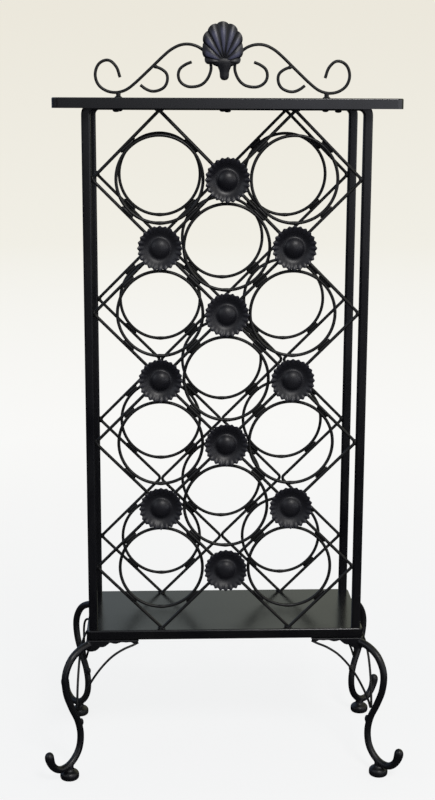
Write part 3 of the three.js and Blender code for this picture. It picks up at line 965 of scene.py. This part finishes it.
def lattice_welds(side):
    bm = bmesh.new()
    rod_y = {number: middle(f"{side}_zigzag_rod_{number}").y for number in range(1, 5)}
    low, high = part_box(f"{side}_bottle_ring_1")
    ring_radius = (high.z - low.z) / 2 - WIRE
    rod_away = CELL / math.sqrt(2)
    for number in range(1, 12):
        centre = middle(f"{side}_bottle_ring_{number}")
        for x, z in ((1, 1), (1, -1), (-1, 1), (-1, -1)):
            out = Vector((x, 0, z)).normalized()
            along = Vector((x, 0, -z)).normalized()
            weld(bm, centre + out * (ring_radius + rod_away) / 2, RING_WELD, along)
    for row in range(1, ROWS, 2):
        for number, x in ((1, -1), (4, 1)):
            inner = x * (POST_X - BAR / 2 - POST_WELD_IN)
            at = Vector((inner, rod_y[number], LATTICE_TOP - row * CELL))
            weld(bm, at, POST_WELD, Vector((0, 0, 1)))
    for number, (start_x, turn_x) in enumerate(RODS, 1):
        lean = math.copysign(1, turn_x - start_x)
        for z in (RAIL_BOTTOM, SHELF_FACE):
            at = Vector((start_x + lean * END_WELD_IN, rod_y[number], z))
            weld(bm, at, END_WELD, Vector((1, 0, 0)))
    return make_piece(bm, f"weld_beads_{side}", "wire")


for side in ("front", "rear"):
    welds = lattice_welds(side)
print("weld beads", counts[welds.name], "faces a side")

# %% Set the screw heads
SCREW_X = (-114 * mm, 0, 114 * mm)
SCREW_DROP = 2.2 * mm               # how far a head hangs below the rail
SCREW_PROFILE = [(0, 0), (1.5, 0.1), (2.8, 0.6), (3.5, 1.4), (3.6, 2.0), (3.2, 2.4), (0, 2.4)]


def screw_heads(side):
    bm = bmesh.new()
    for x in SCREW_X:
        turned(bm, SCREW_PROFILE, Vector((x, middle(f"{side}_frame").y, RAIL_BOTTOM - SCREW_DROP)))
    return make_piece(bm, f"screw_heads_{side}", "frame")


for side in ("front", "rear"):
    screws = screw_heads(side)
print("screws", counts[screws.name], "faces a side")

# %% [markdown]
# ## Floor and light
#
# A plain pale floor fades into an equally pale surround, so that no horizon cuts across the wires. What
# the camera sees behind the rack and what the black coat mirrors can be set apart in the world's nodes:
# the surround looks bright, while reflections find a dimmer room, and the coat stays black. A low window in
# front, to the right, brightens the lip of the top shelf. The key lamp stands in front, above the rack, and
# puts a soft spot on each rosette, and two weak ones fill the sides.

# %% Lay the floor
FLOOR_REACH = 6.0
FLOOR_SIDES = 96
FLOOR_GREY = (0.8, 0.81, 0.82)
FLOOR_GLOW = 0.86                       # the glow's share under the rack, where the rest shows shadows
SHADOWS_FADE = (0.35, 1.6)              # between these distances the share grows to the whole
PAPER_FADE = 0.4                        # from this distance on, the paper's colour turns to the far one
PAPER_NEAR = (0.965, 0.967, 0.968)      # the paper's glow under the rack
PAPER_FAR = (0.880, 0.863, 0.791)       # and at the floor's edge
PAPER_HIGH = (0.838, 0.806, 0.716)      # the backdrop above the horizon


def floor():
    bm = bmesh.new()
    bmesh.ops.create_circle(bm, cap_ends=True, radius=FLOOR_REACH, segments=FLOOR_SIDES)
    mesh = bpy.data.meshes.new("floor")
    bm.to_mesh(mesh)
    bm.free()
    material = bpy.data.materials.new("floor_paint")
    material.use_nodes = True
    tree = material.node_tree
    shader = tree.nodes["Principled BSDF"]
    shader.inputs["Base Color"].default_value = (*FLOOR_GREY, 1)
    shader.inputs["Roughness"].default_value = 0.9
    shader.inputs["Specular IOR Level"].default_value = 0.1
    glow = add_node(tree, "ShaderNodeEmission")
    place = add_node(tree, "ShaderNodeTexCoord")
    reach = add_node(tree, "ShaderNodeVectorMath", operation="LENGTH")
    tree.links.new(place.outputs["Object"], reach.inputs[0])
    fade = add_range(tree, reach.outputs["Value"], 0, 1, PAPER_FADE, FLOOR_REACH)
    tree.links.new(add_mix(tree, fade, PAPER_NEAR, PAPER_FAR), glow.inputs["Color"])
    share = add_range(tree, reach.outputs["Value"], FLOOR_GLOW, 1, *SHADOWS_FADE)
    mix = add_node(tree, "ShaderNodeMixShader")
    tree.links.new(share, mix.inputs["Fac"])
    tree.links.new(shader.outputs["BSDF"], mix.inputs[1])
    tree.links.new(glow.outputs["Emission"], mix.inputs[2])
    tree.links.new(mix.outputs["Shader"], tree.nodes["Material Output"].inputs["Surface"])
    mesh.materials.append(material)
    ground = bpy.data.objects.new("floor", mesh)
    bpy.context.scene.collection.objects.link(ground)
    ground.visible_glossy = False
    return ground


print("floor", [round(s, 1) for s in floor().dimensions], "m")

# %% Light the room
ROOM_FLOOR = (0.008, 0.008, 0.01)       # what the coat mirrors below the horizon
ROOM_LEFT = (0.29, 0.38, 0.54)          # behind the rack, to the left and to the right
ROOM_RIGHT = (0.64, 0.64, 0.46)
WINDOW_LEFT = (0.24, 0.25, 0.29)        # in front of the rack, where a window stands to the right
WINDOW_RIGHT = (4.8, 4.9, 5.4)
FRONT_HIGH = (0.34, 0.35, 0.38)         # in front of the rack, above the window
RACK_MIDDLE = Vector((0, 0, 0.4))       # where the lamps aim


def surround():
    world = bpy.data.worlds.new("surround")
    world.use_nodes = True
    tree = world.node_tree
    background = tree.nodes["Background"]
    place = add_node(tree, "ShaderNodeTexCoord")
    split = add_node(tree, "ShaderNodeSeparateXYZ")
    tree.links.new(place.outputs["Generated"], split.inputs["Vector"])
    x, y, z = (split.outputs[axis] for axis in "XYZ")
    seen = add_mix(tree, add_range(tree, z, 0, 1, -0.1, 0.06), PAPER_FAR, PAPER_HIGH)
    behind = add_mix(tree, add_range(tree, x, 0, 1, -0.3, 0.3), ROOM_LEFT, ROOM_RIGHT)
    window = add_mix(tree, add_range(tree, x, 0, 1, -0.08, 0.24), WINDOW_LEFT, WINDOW_RIGHT)
    front = add_mix(tree, add_range(tree, z, 0, 1, 0.03, 0.13), window, FRONT_HIGH)
    upper = add_mix(tree, add_range(tree, y, 0, 1, -0.3, 0.3), front, behind)
    room = add_mix(tree, add_range(tree, z, 0, 1, -0.1, 0.14), ROOM_FLOOR, upper)
    path = add_node(tree, "ShaderNodeLightPath")
    colour = add_mix(tree, path.outputs["Is Camera Ray"], room, seen)
    tree.links.new(colour, background.inputs["Color"])
    bpy.context.scene.world = world


def lamp(name, at, size, watts, colour):
    data = bpy.data.lights.new(name, "AREA")
    data.shape = "RECTANGLE"
    data.size, data.size_y = size
    data.energy = watts
    data.color = colour
    lit = bpy.data.objects.new(name, data)
    lit.location = at
    lit.rotation_euler = (RACK_MIDDLE - Vector(at)).to_track_quat("-Z", "Y").to_euler()
    bpy.context.scene.collection.objects.link(lit)


surround()
lamp("key", (0.5, -1.7, 1.85), (0.5, 0.45), 24, (1, 0.98, 0.96))
lamp("left_fill", (-1.9, -1.2, 1.5), (1.0, 1.2), 6, (0.86, 0.92, 1))
lamp("right_fill", (2.0, -1.0, 1.5), (0.9, 1.2), 5, (1, 0.97, 0.92))
bpy.context.scene.view_settings.view_transform = "Standard"
print("lamps", len(bpy.data.lights))

# %% [markdown]
# ## Count the faces
#
# The faces of all the pieces are counted and printed.

# %% Finish
print("faces in all", sum(counts.values()), "in", len(counts), "pieces")
